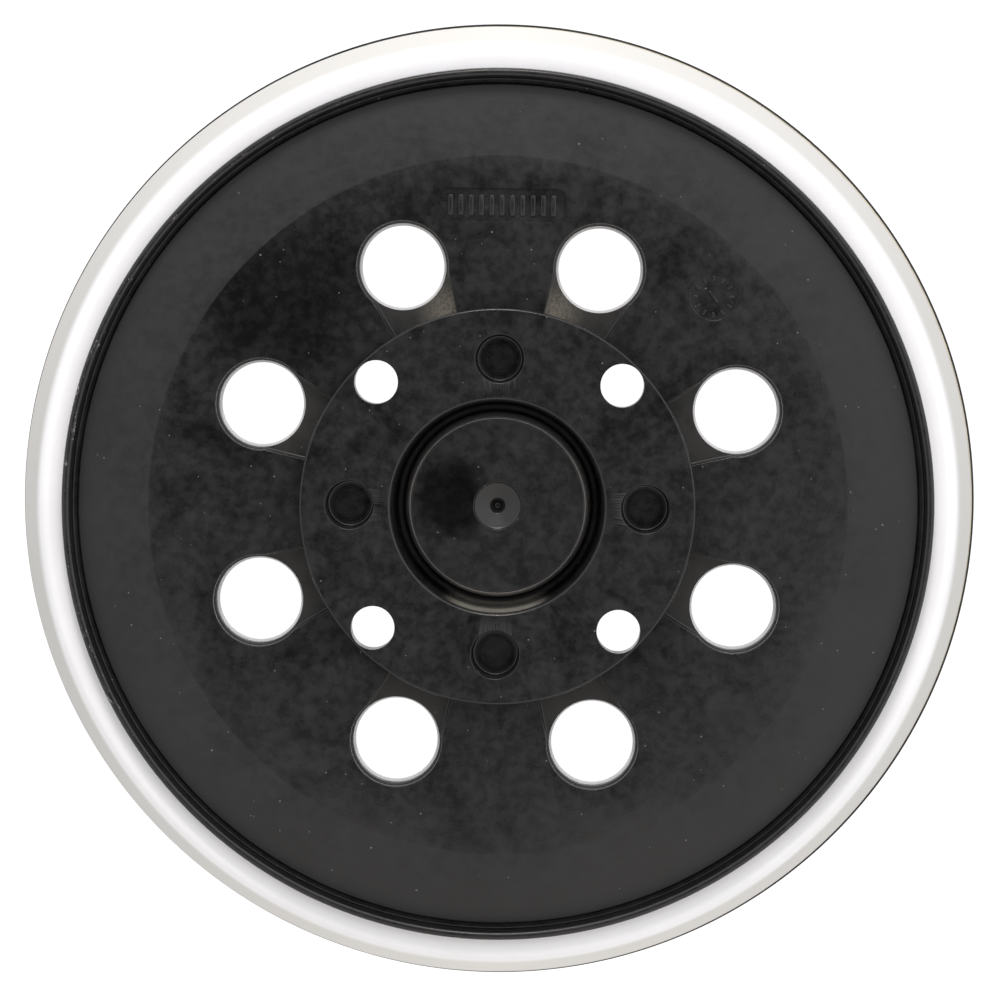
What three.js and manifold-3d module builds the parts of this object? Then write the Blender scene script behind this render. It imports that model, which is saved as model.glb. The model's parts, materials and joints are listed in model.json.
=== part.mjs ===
// Backing pad of a random-orbit sander: a moulded plastic carrier plate, a soft foam pad moulded
// under it, and the hook disc that holds the abrasive sheet. Millimetres, +Z up, machine side up.
// The origin is the middle of the hook face, so the pad lies on Z = 0.
import * as THREE from 'three';
import { mergeVertices } from 'three/addons/utils/BufferGeometryUtils.js';
import Module from 'manifold-3d';

// Facets: how finely round shapes are divided.
const RING_SEGMENTS = 64;
const HOLE_SEGMENTS = 16;
const SHOULDER_STEPS = 4;

// Holes. Eight dust holes stand on the sheet's standard circle, four screws fasten the pad.
const DUST_HOLES = 8;
const DUST_CIRCLE_RADIUS = 32.5;
const DUST_HOLE_RADIUS = 5.5;
const SCREW_HOLES = 4;
const SCREW_HOLE_RADIUS = 2.75;
const SCREW_HEAD_RADIUS = 4.25;
const SCREW_HEAD_CLEARANCE = 0.35;
const PEG_POCKET_RADIUS = 3;
const PEG_POCKET_DEPTH = 4.2;
const PEG_POCKET_CHAMFER = 0.35;

// Radial widths, chained outwards and inwards from the dust holes' circle.
const HUB_TO_DUST_CIRCLE = 7.5;
const HUB_EDGE_TO_SCREW = 3.1;
const HUB_FACE_WIDTH = 11.2;
const RECESS_TO_PEG_POCKET = 1.5;
const HUB_CHAMFER = 0.3;
const RECESS_CHAMFER = 0.4;
const RECESS_GROOVE_WIDTH = 1.5;
const PLATEAU_BEVEL_WIDTH = 0.9;
const CUP_WALL = 1.6;
const DIMPLE_RADIUS = 3;
const FLAT_BEYOND_DUST_CIRCLE = 11.7;
const SLOPE_WIDTH = 9.1;
const RIM_GROOVE_WIDTH = 0.9;
const RIM_LIP_WIDTH = 1;
const FOAM_BAND_WIDTH = 1.5;
const FOAM_SHOULDER_RADIUS = 1.2;
const FOAM_FLARE = 3.4;
const HOOK_DISC_OVERHANG = 0.2;

// Heights, chained upwards from the hook face.
const HOOK_DISC_THICKNESS = 1.3;
const ADHESIVE_THICKNESS = 0.3;
const FOAM_THICKNESS = 10.1;
const BOND_GAP = 0.3;
const PLATE_THICKNESS = 3.4;
const HUB_RISE = 3;
const PLATEAU_DEPTH = 3.1;
const RECESS_DEPTH = 8.2;
const RECESS_FLOOR_THICKNESS = 2;
const PLATEAU_THICKNESS = 3.6;
const DIMPLE_DEPTH = 0.8;
const POCKET_DEPTH = 1.6;
const SLOPE_DROP = 1.7;
const UNDERSIDE_DROP = 1.2;
const RIM_GROOVE_DEPTH = 0.8;
const RIM_LIP_RISE = 2.2;
const SCREW_COLLAR_HEIGHT = 4;
const FOAM_BELOW_RIM = 2;

// The dust pockets' outline, and the narrow collar at the top of each hole in the foam.
const POCKET_LEDGE = 0.3;
const FOAM_COLLAR_STEP = 0.3;
const FOAM_COLLAR_HEIGHT = 1;
const FOAM_HOLE_RELIEF = 1;
const FOAM_SCREW_HOLE_RELIEF = 1.2;
// How far a cutter runs past the face that it cuts.
const OVERRUN = 1;

// Radii that follow from the widths.
const hubRadius = DUST_CIRCLE_RADIUS - HUB_TO_DUST_CIRCLE;
const screwCircleRadius = hubRadius - HUB_EDGE_TO_SCREW;
const recessRadius = hubRadius - HUB_FACE_WIDTH;
const pegMouthRadius = PEG_POCKET_RADIUS + PEG_POCKET_CHAMFER;
const pegCircleRadius = recessRadius + RECESS_TO_PEG_POCKET + pegMouthRadius;
const recessWallRadius = recessRadius - RECESS_CHAMFER;
const plateauFootRadius = recessWallRadius - RECESS_GROOVE_WIDTH;
const plateauRadius = plateauFootRadius - PLATEAU_BEVEL_WIDTH;
const cupRadius = recessWallRadius + CUP_WALL;
const cupCoreRadius = plateauFootRadius - RECESS_FLOOR_THICKNESS;
const flatRadius = DUST_CIRCLE_RADIUS + FLAT_BEYOND_DUST_CIRCLE;
const slopeRadius = flatRadius + SLOPE_WIDTH;
const lipInnerRadius = slopeRadius + RIM_GROOVE_WIDTH;
const plateRadius = lipInnerRadius + RIM_LIP_WIDTH;
const foamBandRadius = plateRadius + FOAM_BAND_WIDTH;
const foamShoulderRadius = foamBandRadius + FOAM_SHOULDER_RADIUS;
const foamBaseRadius = foamShoulderRadius + FOAM_FLARE;
const hookDiscRadius = foamBaseRadius + HOOK_DISC_OVERHANG;
const counterboreRadius = SCREW_HEAD_RADIUS + SCREW_HEAD_CLEARANCE;
const foamScrewHoleRadius = counterboreRadius + FOAM_SCREW_HOLE_RELIEF;
const foamCollarRadius = DUST_HOLE_RADIUS - FOAM_COLLAR_STEP;
const foamDustHoleRadius = DUST_HOLE_RADIUS + FOAM_HOLE_RELIEF;

// Heights that follow from the thicknesses.
const hookDiscTop = HOOK_DISC_THICKNESS;
const foamBase = hookDiscTop + ADHESIVE_THICKNESS;
const foamTop = foamBase + FOAM_THICKNESS;
const plateUnderside = foamTop + BOND_GAP;
const plateTop = plateUnderside + PLATE_THICKNESS;
const hubTop = plateTop + HUB_RISE;
const plateauTop = hubTop - PLATEAU_DEPTH;
const recessFloor = hubTop - RECESS_DEPTH;
const cupUnderside = recessFloor - RECESS_FLOOR_THICKNESS;
const plateauUnderside = plateauTop - PLATEAU_THICKNESS;
const slopeEnd = plateTop - SLOPE_DROP;
const rimUnderside = plateUnderside - UNDERSIDE_DROP;
const rimGrooveFloor = slopeEnd - RIM_GROOVE_DEPTH;
const rimTop = slopeEnd + RIM_LIP_RISE;
const foamBandTop = rimTop - FOAM_BELOW_RIM;
const foamShoulderFoot = foamBandTop - FOAM_SHOULDER_RADIUS;
const screwSeat = hubTop - SCREW_COLLAR_HEIGHT;

const wasm = await Module();
wasm.setup();

function toSolid(geometry) {
  geometry.deleteAttribute('normal');
  geometry.deleteAttribute('uv');
  const merged = mergeVertices(geometry);
  const corners = merged.index.array;
  const triangles = [];
  for (let i = 0; i < corners.length; i += 3) {
    const [a, b, c] = corners.slice(i, i + 3);
    if (a !== b && b !== c && c !== a) triangles.push(a, b, c);
  }
  return new wasm.Manifold(new wasm.Mesh({
    numProp: 3,
    vertProperties: new Float32Array(merged.attributes.position.array),
    triVerts: new Uint32Array(triangles),
  }));
}

// A solid of revolution about Z. The outline runs from the axis, outwards, up and back: [radius, z].
function revolve(outline) {
  const points = outline.map(([radius, z]) => new THREE.Vector2(radius, z));
  return toSolid(new THREE.LatheGeometry(points, RING_SEGMENTS).rotateX(Math.PI / 2));
}

function cylinder(radius, bottom, top, [x, y] = [0, 0], segments = HOLE_SEGMENTS) {
  const height = top - bottom;
  const geometry = new THREE.CylinderGeometry(radius, radius, height, segments);
  return toSolid(geometry.rotateX(Math.PI / 2).translate(x, y, bottom + height / 2));
}

function cone(bottomRadius, topRadius, bottom, top, [x, y]) {
  const height = top - bottom;
  const geometry = new THREE.CylinderGeometry(topRadius, bottomRadius, height, HOLE_SEGMENTS);
  return toSolid(geometry.rotateX(Math.PI / 2).translate(x, y, bottom + height / 2));
}

function prism(shape, bottom, top) {
  const geometry = new THREE.ExtrudeGeometry(shape, { depth: top - bottom, bevelEnabled: false });
  return toSolid(geometry.translate(0, 0, bottom));
}

// Centres spaced evenly on a circle, the first at `turn` of one spacing.
function onCircle(count, radius, turn) {
  const step = (2 * Math.PI) / count;
  return Array.from({ length: count }, (_, i) => {
    const angle = (i + turn) * step;
    return [radius * Math.cos(angle), radius * Math.sin(angle)];
  });
}

const dustCentres = onCircle(DUST_HOLES, DUST_CIRCLE_RADIUS, 0.5);
const screwCentres = onCircle(SCREW_HOLES, screwCircleRadius, 0.5);
const pegCentres = onCircle(SCREW_HOLES, pegCircleRadius, 0);

function drill(solid, centres, radius, bottom, top) {
  return centres.reduce(
    (drilled, centre) => drilled.subtract(cylinder(radius, bottom, top, centre)), solid);
}

// A dust pocket leads each hole's air to the hub: a wedge whose sides touch the hole, with its
// point on the axis, plus a narrow ledge round the hole.
function dustPocket([x, y]) {
  const halfAngle = Math.asin(DUST_HOLE_RADIUS / DUST_CIRCLE_RADIUS);
  const reach = DUST_CIRCLE_RADIUS * Math.cos(halfAngle);
  const middle = Math.atan2(y, x);
  const floor = plateTop - POCKET_DEPTH;
  const top = plateTop + OVERRUN;
  const wedge = new THREE.Shape();
  wedge.moveTo(0, 0);
  wedge.lineTo(reach * Math.cos(middle - halfAngle), reach * Math.sin(middle - halfAngle));
  wedge.lineTo(reach * Math.cos(middle + halfAngle), reach * Math.sin(middle + halfAngle));
  wedge.closePath();
  return prism(wedge, floor, top).add(cylinder(DUST_HOLE_RADIUS + POCKET_LEDGE, floor, top, [x, y]));
}

function plateFlange() {
  const flange = revolve([
    [0, plateUnderside],
    [flatRadius, plateUnderside],
    [slopeRadius, rimUnderside],
    [plateRadius, rimUnderside],
    [plateRadius, rimTop],
    [lipInnerRadius, rimTop],
    [lipInnerRadius, rimGrooveFloor],
    [slopeRadius, rimGrooveFloor],
    [slopeRadius, slopeEnd],
    [flatRadius, plateTop],
    [0, plateTop],
  ]);
  return dustCentres.reduce((cut, centre) => cut.subtract(dustPocket(centre)), flange);
}

// The machine's drive seats on the hub's face, round the plateau in the central recess.
function hub() {
  return revolve([
    [0, plateUnderside],
    [hubRadius, plateUnderside],
    [hubRadius, hubTop - HUB_CHAMFER],
    [hubRadius - HUB_CHAMFER, hubTop],
    [0, hubTop],
  ]);
}

function recessCup() {
  return cylinder(cupRadius, cupUnderside, plateUnderside + OVERRUN, [0, 0], RING_SEGMENTS);
}

function recess() {
  return revolve([
    [0, plateauTop - DIMPLE_DEPTH],
    [DIMPLE_RADIUS, plateauTop],
    [plateauRadius, plateauTop],
    [plateauFootRadius, recessFloor],
    [recessWallRadius, recessFloor],
    [recessWallRadius, hubTop - RECESS_CHAMFER],
    [recessRadius, hubTop],
    [recessRadius, hubTop + OVERRUN],
    [0, hubTop + OVERRUN],
  ]);
}

function pegPocket(centre) {
  const floor = hubTop - PEG_POCKET_DEPTH;
  const chamferFoot = hubTop - PEG_POCKET_CHAMFER;
  return cylinder(PEG_POCKET_RADIUS, floor, hubTop + OVERRUN, centre)
    .add(cone(PEG_POCKET_RADIUS, pegMouthRadius, chamferFoot, hubTop, centre))
    .add(cylinder(pegMouthRadius, hubTop, hubTop + OVERRUN, centre));
}

// Each screw's head goes into a counterbore from below, and the machine clamps the collar over it.
function carrierPlate() {
  const core = cylinder(cupCoreRadius, cupUnderside - OVERRUN, plateauUnderside, [0, 0], RING_SEGMENTS);
  let plate = plateFlange().add(hub()).add(recessCup()).subtract(recess()).subtract(core);
  plate = drill(plate, dustCentres, DUST_HOLE_RADIUS, cupUnderside, hubTop);
  plate = drill(plate, screwCentres, SCREW_HOLE_RADIUS, cupUnderside, hubTop + OVERRUN);
  plate = drill(plate, screwCentres, counterboreRadius, cupUnderside, screwSeat);
  return pegCentres.reduce((cut, centre) => cut.subtract(pegPocket(centre)), plate);
}

// The foam fills the plate's underside and flares out to the hook disc.
function foamPad() {
  const shoulder = [];
  for (let i = 0; i <= SHOULDER_STEPS; i += 1) {
    const angle = (i / SHOULDER_STEPS) * (Math.PI / 2);
    shoulder.push([
      foamBandRadius + FOAM_SHOULDER_RADIUS * Math.cos(angle),
      foamShoulderFoot + FOAM_SHOULDER_RADIUS * Math.sin(angle),
    ]);
  }
  const foam = revolve([
    [0, foamBase],
    [foamBaseRadius, foamBase],
    ...shoulder,
    [plateRadius + BOND_GAP, foamBandTop],
    [plateRadius + BOND_GAP, rimUnderside - BOND_GAP],
    [slopeRadius, rimUnderside - BOND_GAP],
    [flatRadius, foamTop],
    [cupRadius + BOND_GAP, foamTop],
    [cupRadius + BOND_GAP, cupUnderside - BOND_GAP],
    [cupCoreRadius - BOND_GAP, cupUnderside - BOND_GAP],
    [cupCoreRadius - BOND_GAP, foamTop],
    [0, foamTop],
  ]);
  const collarFoot = foamTop - FOAM_COLLAR_HEIGHT;
  const collared = drill(foam, dustCentres, foamCollarRadius, foamBase - OVERRUN, foamTop + OVERRUN);
  const relieved = drill(collared, dustCentres, foamDustHoleRadius, foamBase - OVERRUN, collarFoot);
  return drill(relieved, screwCentres, foamScrewHoleRadius, foamBase - OVERRUN, foamTop + OVERRUN);
}

// The hook disc and its adhesive film have the same outline of holes as the foam.
function sheet(radius, bottom, top) {
  const disc = cylinder(radius, bottom, top, [0, 0], RING_SEGMENTS);
  const vented = drill(disc, dustCentres, foamDustHoleRadius, bottom - OVERRUN, top + OVERRUN);
  return drill(vented, screwCentres, foamScrewHoleRadius, bottom - OVERRUN, top + OVERRUN);
}

function toMesh(name, solid, color, roughness) {
  const { vertProperties, triVerts } = solid.getMesh();
  const geometry = new THREE.BufferGeometry();
  geometry.setAttribute('position', new THREE.BufferAttribute(vertProperties, 3));
  geometry.setIndex(new THREE.BufferAttribute(triVerts, 1));
  geometry.computeVertexNormals();
  const material = new THREE.MeshStandardMaterial({ color, roughness, metalness: 0 });
  const mesh = new THREE.Mesh(geometry, material);
  mesh.name = name;
  return mesh;
}

const pad = new THREE.Group();
pad.add(
  toMesh('carrier_plate', carrierPlate(), 0x2f2d30, 0.5),
  toMesh('foam_pad', foamPad(), 0xe6e5e2, 0.9),
  toMesh('adhesive_film', sheet(foamBaseRadius, hookDiscTop, foamBase), 0xd8d2bf, 0.6),
  toMesh('hook_disc', sheet(hookDiscRadius, 0, hookDiscTop), 0x1d1d1f, 0.8),
);

export default pad;
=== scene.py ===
import json
import math

import bpy
import numpy as np
from bpy.props import FloatProperty, FloatVectorProperty, PointerProperty
from mathutils import Matrix, Vector


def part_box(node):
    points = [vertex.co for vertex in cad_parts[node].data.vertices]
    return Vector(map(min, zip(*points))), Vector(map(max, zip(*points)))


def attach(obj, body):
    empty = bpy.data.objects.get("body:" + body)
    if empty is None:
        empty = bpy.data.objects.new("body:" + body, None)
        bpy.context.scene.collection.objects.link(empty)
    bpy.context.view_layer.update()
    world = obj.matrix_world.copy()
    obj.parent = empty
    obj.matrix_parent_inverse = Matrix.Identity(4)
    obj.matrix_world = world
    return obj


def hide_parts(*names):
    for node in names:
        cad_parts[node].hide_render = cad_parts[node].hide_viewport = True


bl_info = {
    "name": "Sander Backing Pad",
    "version": (1, 0, 0),
    "blender": (4, 5, 0),
    "location": "3D View > Sidebar > Sander Pad",
    "description": "Builds a sander's backing pad: carrier plate, foam, adhesive film and hook disc",
    "category": "Add Mesh",
}

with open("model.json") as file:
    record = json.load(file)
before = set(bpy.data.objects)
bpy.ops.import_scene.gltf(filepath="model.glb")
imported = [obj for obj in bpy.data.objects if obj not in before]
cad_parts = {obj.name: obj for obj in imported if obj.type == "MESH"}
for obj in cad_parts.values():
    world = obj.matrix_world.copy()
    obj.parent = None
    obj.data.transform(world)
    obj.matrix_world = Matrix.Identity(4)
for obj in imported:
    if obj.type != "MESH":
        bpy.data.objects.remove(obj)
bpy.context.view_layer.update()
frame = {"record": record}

# ---------------------------------------------------------------------------
# Places and sizes, in millimetres
# ---------------------------------------------------------------------------

MM = 0.001
FINE = 288  # divisions round a large circle
COARSE = 72  # divisions round a hole
SHARP_EDGE = math.radians(32)
PAST = 1.0  # how far a cutter runs past the face that it cuts
LIFT = 0.03  # a rounded mouth leaves its face at a slight slope, so that the cut stays clean
LIP_SHARE = 0.9  # rounding of a hole's lip as a share of how far the lip flares
FIT = 0.04  # gap between two pieces that touch


def node_box(node):
    """The lowest and highest corner of a CAD node, in millimetres."""
    low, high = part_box(node)
    return np.array(low) / MM, np.array(high) / MM


def opening_centres(prefix):
    """The middles, seen from above, of the record's openings whose names start with prefix."""
    openings = frame["record"]["physics"]["openings"]
    boxes = np.array([o["box_m"] for o in openings if o["name"].startswith(prefix)])
    return boxes.mean(axis=1)[:, :2] / MM


PLATE_LOW, PLATE_HIGH = node_box("carrier_plate")
FOAM_LOW, FOAM_HIGH = node_box("foam_pad")
HOOK_LOW, HOOK_HIGH = node_box("hook_disc")

DUST_CENTRES = opening_centres("dust_hole")
SCREW_CENTRES = opening_centres("screw_access")
PEG_CENTRES = opening_centres("peg_pocket")
DUST_CIRCLE = float(np.hypot(*DUST_CENTRES[0]))

# Holes
DUST_HOLE = 5.5
SCREW_HOLE = 2.75
SCREW_COUNTERBORE = 4.6
SCREW_COLLAR_HEIGHT = 4.0
FOAM_DUST_COLLAR = 5.2
FOAM_DUST_HOLE = 6.5
FOAM_SCREW_HOLE = 5.8
PEG_POCKET = 3.0
PEG_POCKET_DEPTH = 4.2

# The carrier plate's rings, from the axis outwards
DIMPLE = 3.0
PLATEAU = 11.0
PLATEAU_FOOT = 11.9
RECESS = 13.4
CUP = 15.0
CUP_CORE = 9.9
HUB = 25.0
FLAT = 44.2
SLOPE = 53.3
LIP_INSIDE = 54.2
PLATE_EDGE = float(PLATE_HIGH[0])

# The carrier plate's levels, from the hub's face downwards
HUB_TOP = float(PLATE_HIGH[2])
LAND = HUB_TOP - 3.0
PLATEAU_TOP = HUB_TOP - 3.1
RECESS_FLOOR = HUB_TOP - 8.2
CUP_UNDERSIDE = float(PLATE_LOW[2])
PLATEAU_UNDERSIDE = PLATEAU_TOP - 3.6
POCKET_FLOOR = LAND - 1.6
UNDERSIDE = LAND - 3.4
RIM_UNDERSIDE = UNDERSIDE - 1.2
SLOPE_END = LAND - 1.7
GROOVE_FLOOR = SLOPE_END - 0.8
RIM_TOP = SLOPE_END + 2.2

# The foam
FOAM_BASE = float(FOAM_HIGH[0])
FOAM_BOTTOM, FOAM_TOP = float(FOAM_LOW[2]), float(FOAM_HIGH[2])
FOAM_BAND = 56.7
FOAM_SHOULDER = 1.2
FOAM_LEAN = (-0.16, -0.08)  # how far the foam's foot stands off the hook disc's middle
FOAM_HOLES = ((DUST_CENTRES, FOAM_DUST_HOLE), (SCREW_CENTRES, FOAM_SCREW_HOLE))

# The hook disc
HOOK_EDGE = float(HOOK_HIGH[0])
HOOK_TOP = float(HOOK_HIGH[2])


# ---------------------------------------------------------------------------
# Meshes worked out as whole arrays
# ---------------------------------------------------------------------------


def fillet(corners, steps=5):
    """An outline with rounded corners. Each corner is (radius, height, rounding), and a rounded one
    becomes an arc tangent to both of its sides, whose centre lies on the line that halves the angle
    between them, at rounding / sin(half the angle) from the corner."""
    points = []
    places = np.array([corner[:2] for corner in corners], float)
    for i, (_, _, rounding) in enumerate(corners):
        here = places[i]
        if not rounding:
            points.append(here)
            continue
        to_last, to_next = places[i - 1] - here, places[i + 1] - here
        to_last /= np.linalg.norm(to_last)
        to_next /= np.linalg.norm(to_next)
        half = math.acos(np.clip(to_last @ to_next, -1, 1)) / 2
        middle = to_last + to_next
        centre = here + middle / np.linalg.norm(middle) * rounding / math.sin(half)
        start = here + to_last * rounding / math.tan(half) - centre
        sweep = math.pi - 2 * half
        if start[0] * (here - centre)[1] - start[1] * (here - centre)[0] < 0:
            sweep = -sweep
        turn = np.linspace(0, sweep, steps + 1)
        points.extend(
            centre
            + np.stack([
                start[0] * np.cos(turn) - start[1] * np.sin(turn),
                start[0] * np.sin(turn) + start[1] * np.cos(turn),
            ], axis=1)
        )
    return np.array(points)


def grid_faces(rows, columns, first=0):
    """Quads of a grid whose columns close round into a ring, row after row upwards."""
    index = first + np.arange(rows * columns).reshape(rows, columns)
    beside = np.roll(index, -1, axis=1)
    return np.stack([index[:-1], beside[:-1], beside[1:], index[1:]], axis=-1).reshape(-1, 4)


def closed_rings(rings):
    """The vertices and faces of a closed solid made of rings, from its lowest ring to its highest,
    with a fan to the middle point of the first ring and of the last."""
    rows, columns = rings.shape[:2]
    points = np.vstack([rings.reshape(-1, 3), rings[0].mean(axis=0), rings[-1].mean(axis=0)])
    bottom, top = rows * columns, rows * columns + 1
    around = np.arange(columns)
    beside = np.roll(around, -1)
    last = around + (rows - 1) * columns
    low_fan = np.stack([np.full(columns, bottom), beside, around], axis=1)
    high_fan = np.stack([last, np.roll(last, -1), np.full(columns, top)], axis=1)
    return points, grid_faces(rows, columns).tolist() + low_fan.tolist() + high_fan.tolist()


def lathe(outline, segments, centre=(0.0, 0.0), shift=None):
    """A solid of revolution about a vertical line: each (radius, height) of the outline is carried
    round the circle (cx + radius cos t, cy + radius sin t). shift gives each ring its own move."""
    outline = np.asarray(outline, float)
    outline = outline[outline[:, 0] > 0]
    turn = np.arange(segments) * (2 * math.pi / segments)
    rings = np.stack([
        centre[0] + outline[:, :1] * np.cos(turn),
        centre[1] + outline[:, :1] * np.sin(turn),
        np.broadcast_to(outline[:, 1:], (len(outline), segments)),
    ], axis=-1)
    if shift is not None:
        rings[..., :2] += shift(outline)[:, None, :]
    return closed_rings(rings)


def drill(radius, low, high, mouth=0.0, foot=0.0):
    """The outline of a round cutter from low to high, whose ends flare out by mouth and foot as a
    quarter of a circle, so that the hole gets rounded lips."""
    start = [(radius, low - PAST, 0)]
    if foot:
        wide = radius + foot
        start = [(wide, low - PAST, 0), (wide, low - LIFT, 0), (radius, low, foot * LIP_SHARE)]
    end = [(radius, high + PAST, 0)]
    if mouth:
        wide = radius + mouth
        end = [(radius, high, mouth * LIP_SHARE), (wide, high + LIFT, 0), (wide, high + PAST, 0)]
    return fillet([*start, *end])


def joined(solids):
    """Several separate solids as one set of vertices and faces."""
    points, faces, count = [], [], 0
    for vertices, polygons in solids:
        points.append(vertices)
        faces.extend([[corner + count for corner in polygon] for polygon in polygons])
        count += len(vertices)
    return np.vstack(points), faces


def round_cutters(centres, outline):
    """One round cutter at each centre."""
    return joined([lathe(outline, COARSE, centre) for centre in centres])


def new_object(name, solid):
    """A mesh object from vertices in millimetres, at the origin, with smooth faces."""
    points, faces = solid
    mesh = bpy.data.meshes.new(name)
    mesh.from_pydata((np.asarray(points) * MM).tolist(), [], faces)
    mesh.shade_smooth()
    piece = bpy.data.objects.new(name, mesh)
    bpy.context.scene.collection.objects.link(piece)
    return piece


def apply_modifiers(piece):
    """Makes a piece's mesh what its modifiers show, and removes them."""
    graph = bpy.context.evaluated_depsgraph_get()
    made = bpy.data.meshes.new_from_object(piece.evaluated_get(graph))
    old, piece.data = piece.data, made
    piece.modifiers.clear()
    made.name = piece.name
    bpy.data.meshes.remove(old)


def combine(piece, operation, solid):
    """Adds a solid to a piece, or cuts it from the piece."""
    other = new_object("cutter", solid)
    modifier = piece.modifiers.new("combine", "BOOLEAN")
    modifier.operation, modifier.solver, modifier.object = operation, "MANIFOLD", other
    apply_modifiers(piece)
    mesh = other.data
    bpy.data.objects.remove(other)
    bpy.data.meshes.remove(mesh)


def finish_piece(piece, material, replaced=None):
    """Marks sharp edges, weights the normals by face area, and ties the piece to the frame."""
    mesh = piece.data
    mesh.shade_smooth()
    mesh.set_sharp_from_angle(angle=SHARP_EDGE)
    weighted = piece.modifiers.new("flat faces stay flat", "WEIGHTED_NORMAL")
    weighted.keep_sharp, weighted.weight = True, 100
    mesh.materials.clear()
    mesh.materials.append(material)
    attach(piece, "root")
    if replaced:
        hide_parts(replaced)


# ---------------------------------------------------------------------------
# Shader nodes
# ---------------------------------------------------------------------------


class Tree:
    """Adds nodes to a node tree from left to right, and links or sets their inputs."""

    def __init__(self, tree):
        self.tree, self.count = tree, 0

    def add(self, kind, inputs=None, **settings):
        node = self.tree.nodes.new(kind)
        node.location = (220 * self.count, 0)
        self.count += 1
        for name, value in settings.items():
            setattr(node, name, value)
        for key, value in (inputs or {}).items():
            if isinstance(value, bpy.types.NodeSocket):
                self.feed(value, node, key)
            else:
                node.inputs[key].default_value = value
        return node

    def feed(self, value, node, key):
        self.tree.links.new(value, node.inputs[key])

    def math(self, operation, *values, clamp=False):
        inputs = dict(enumerate(values))
        return self.add("ShaderNodeMath", inputs, operation=operation, use_clamp=clamp).outputs[0]

    def times(self, first, second, clamp=False):
        return self.math("MULTIPLY", first, second, clamp=clamp)

    def plus(self, first, second, clamp=False):
        return self.math("ADD", first, second, clamp=clamp)

    def most(self, first, second):
        return self.math("MAXIMUM", first, second)

    def between(self, value, low, high, to_low=0.0, to_high=1.0):
        """Smooth change from to_low to to_high as value goes from low to high."""
        inputs = {0: value, 1: low, 2: high, 3: to_low, 4: to_high}
        node = self.add("ShaderNodeMapRange", inputs, interpolation_type="SMOOTHSTEP")
        return node.outputs[0]

    def band(self, value, low, high, soft):
        """1 where value lies between low and high, fading out over soft."""
        rise = self.between(value, low - soft / 2, low + soft / 2)
        fall = self.between(value, high - soft / 2, high + soft / 2, 1.0, 0.0)
        return self.times(rise, fall)

    def mix(self, share, first, second, blend="MIX"):
        inputs = {0: share, 6: first, 7: second}
        node = self.add("ShaderNodeMix", inputs, data_type="RGBA", blend_type=blend)
        return node.outputs[2]

    def noise(self, where, scale, detail=3.0, roughness=0.55, distortion=0.0):
        inputs = {"Vector": where, "Scale": scale, "Detail": detail,
                  "Roughness": roughness, "Distortion": distortion}
        return self.add("ShaderNodeTexNoise", inputs).outputs["Fac"]

    def scaled(self, where, scale, turn=(0, 0, 0)):
        inputs = {"Vector": where, "Scale": scale, "Rotation": turn}
        return self.add("ShaderNodeMapping", inputs).outputs[0]

    def group(self, name, inputs):
        return self.add("ShaderNodeGroup", inputs, node_tree=bpy.data.node_groups[name]).outputs


def new_group(name, inputs, outputs):
    """A shader node group with named sockets. Returns its tree, its inputs and its output node."""
    tree = bpy.data.node_groups.new(name, "ShaderNodeTree")
    for socket, kind in inputs.items():
        tree.interface.new_socket(socket, in_out="INPUT", socket_type=kind)
    for socket, kind in outputs.items():
        tree.interface.new_socket(socket, in_out="OUTPUT", socket_type=kind)
    kit = Tree(tree)
    given = kit.add("NodeGroupInput").outputs
    return kit, given, tree.nodes.new("NodeGroupOutput")


VALUE, VECTOR = "NodeSocketFloat", "NodeSocketVector"


def make_polar_group():
    """Radius and height in millimetres and the angle in radians of a place, and the place unrolled
    along the circle, for patterns that follow the rings."""
    kit, given, out = new_group(
        "ring coordinates", {"Place": VECTOR},
        {"Radius": VALUE, "Height": VALUE, "Angle": VALUE, "Unrolled": VECTOR})
    millimetres = kit.add("ShaderNodeVectorMath", {0: given["Place"], 3: 1 / MM}, operation="SCALE")
    parts = kit.add("ShaderNodeSeparateXYZ", {0: millimetres.outputs[0]}).outputs
    flat = kit.add("ShaderNodeCombineXYZ", {0: parts[0], 1: parts[1]}).outputs[0]
    radius = kit.add("ShaderNodeVectorMath", {0: flat}, operation="LENGTH").outputs["Value"]
    angle = kit.math("ARCTAN2", parts[1], parts[0])
    across = kit.math("DIVIDE", parts[0], radius)
    along = kit.math("DIVIDE", parts[1], radius)
    ring = kit.add("ShaderNodeCombineXYZ", {0: across, 1: along, 2: radius}).outputs[0]
    for name, socket in (("Radius", radius), ("Height", parts[2]), ("Angle", angle), ("Unrolled", ring)):
        kit.feed(socket, out, name)


def make_grain_group():
    """The fine grain of a moulded surface: a fine noise on a coarser one, as a height from 0 to 1."""
    kit, given, out = new_group("moulded grain", {"Place": VECTOR, "Grain": VALUE, "Detail": VALUE},
                                {"Height": VALUE})
    fine = kit.noise(given["Place"], given["Grain"], given["Detail"], 0.65)
    wide = kit.times(given["Grain"], 0.23)
    broad = kit.noise(given["Place"], wide, 2.0, 0.5)
    height = kit.math("MULTIPLY_ADD", broad, 0.35, kit.times(fine, 0.65))
    kit.feed(height, out, "Height")


def make_speck_group():
    """Scattered specks of dust: small round cores of a few cells of a cell pattern."""
    sockets = {"Place": VECTOR, "Spacing": VALUE, "Size": VALUE, "Share": VALUE}
    kit, given, out = new_group("dust specks", sockets, {"Mask": VALUE})
    cells = kit.add("ShaderNodeTexVoronoi", {"Vector": given["Place"], "Scale": given["Spacing"]})
    pick = kit.add("ShaderNodeSeparateColor", {0: cells.outputs["Color"]}).outputs
    chosen = kit.math("LESS_THAN", pick[0], given["Share"])
    size = kit.times(given["Size"], kit.math("MULTIPLY_ADD", pick[1], 0.8, 0.35))
    core = kit.math("LESS_THAN", cells.outputs["Distance"], size)
    kit.feed(kit.times(chosen, core), out, "Mask")


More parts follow.
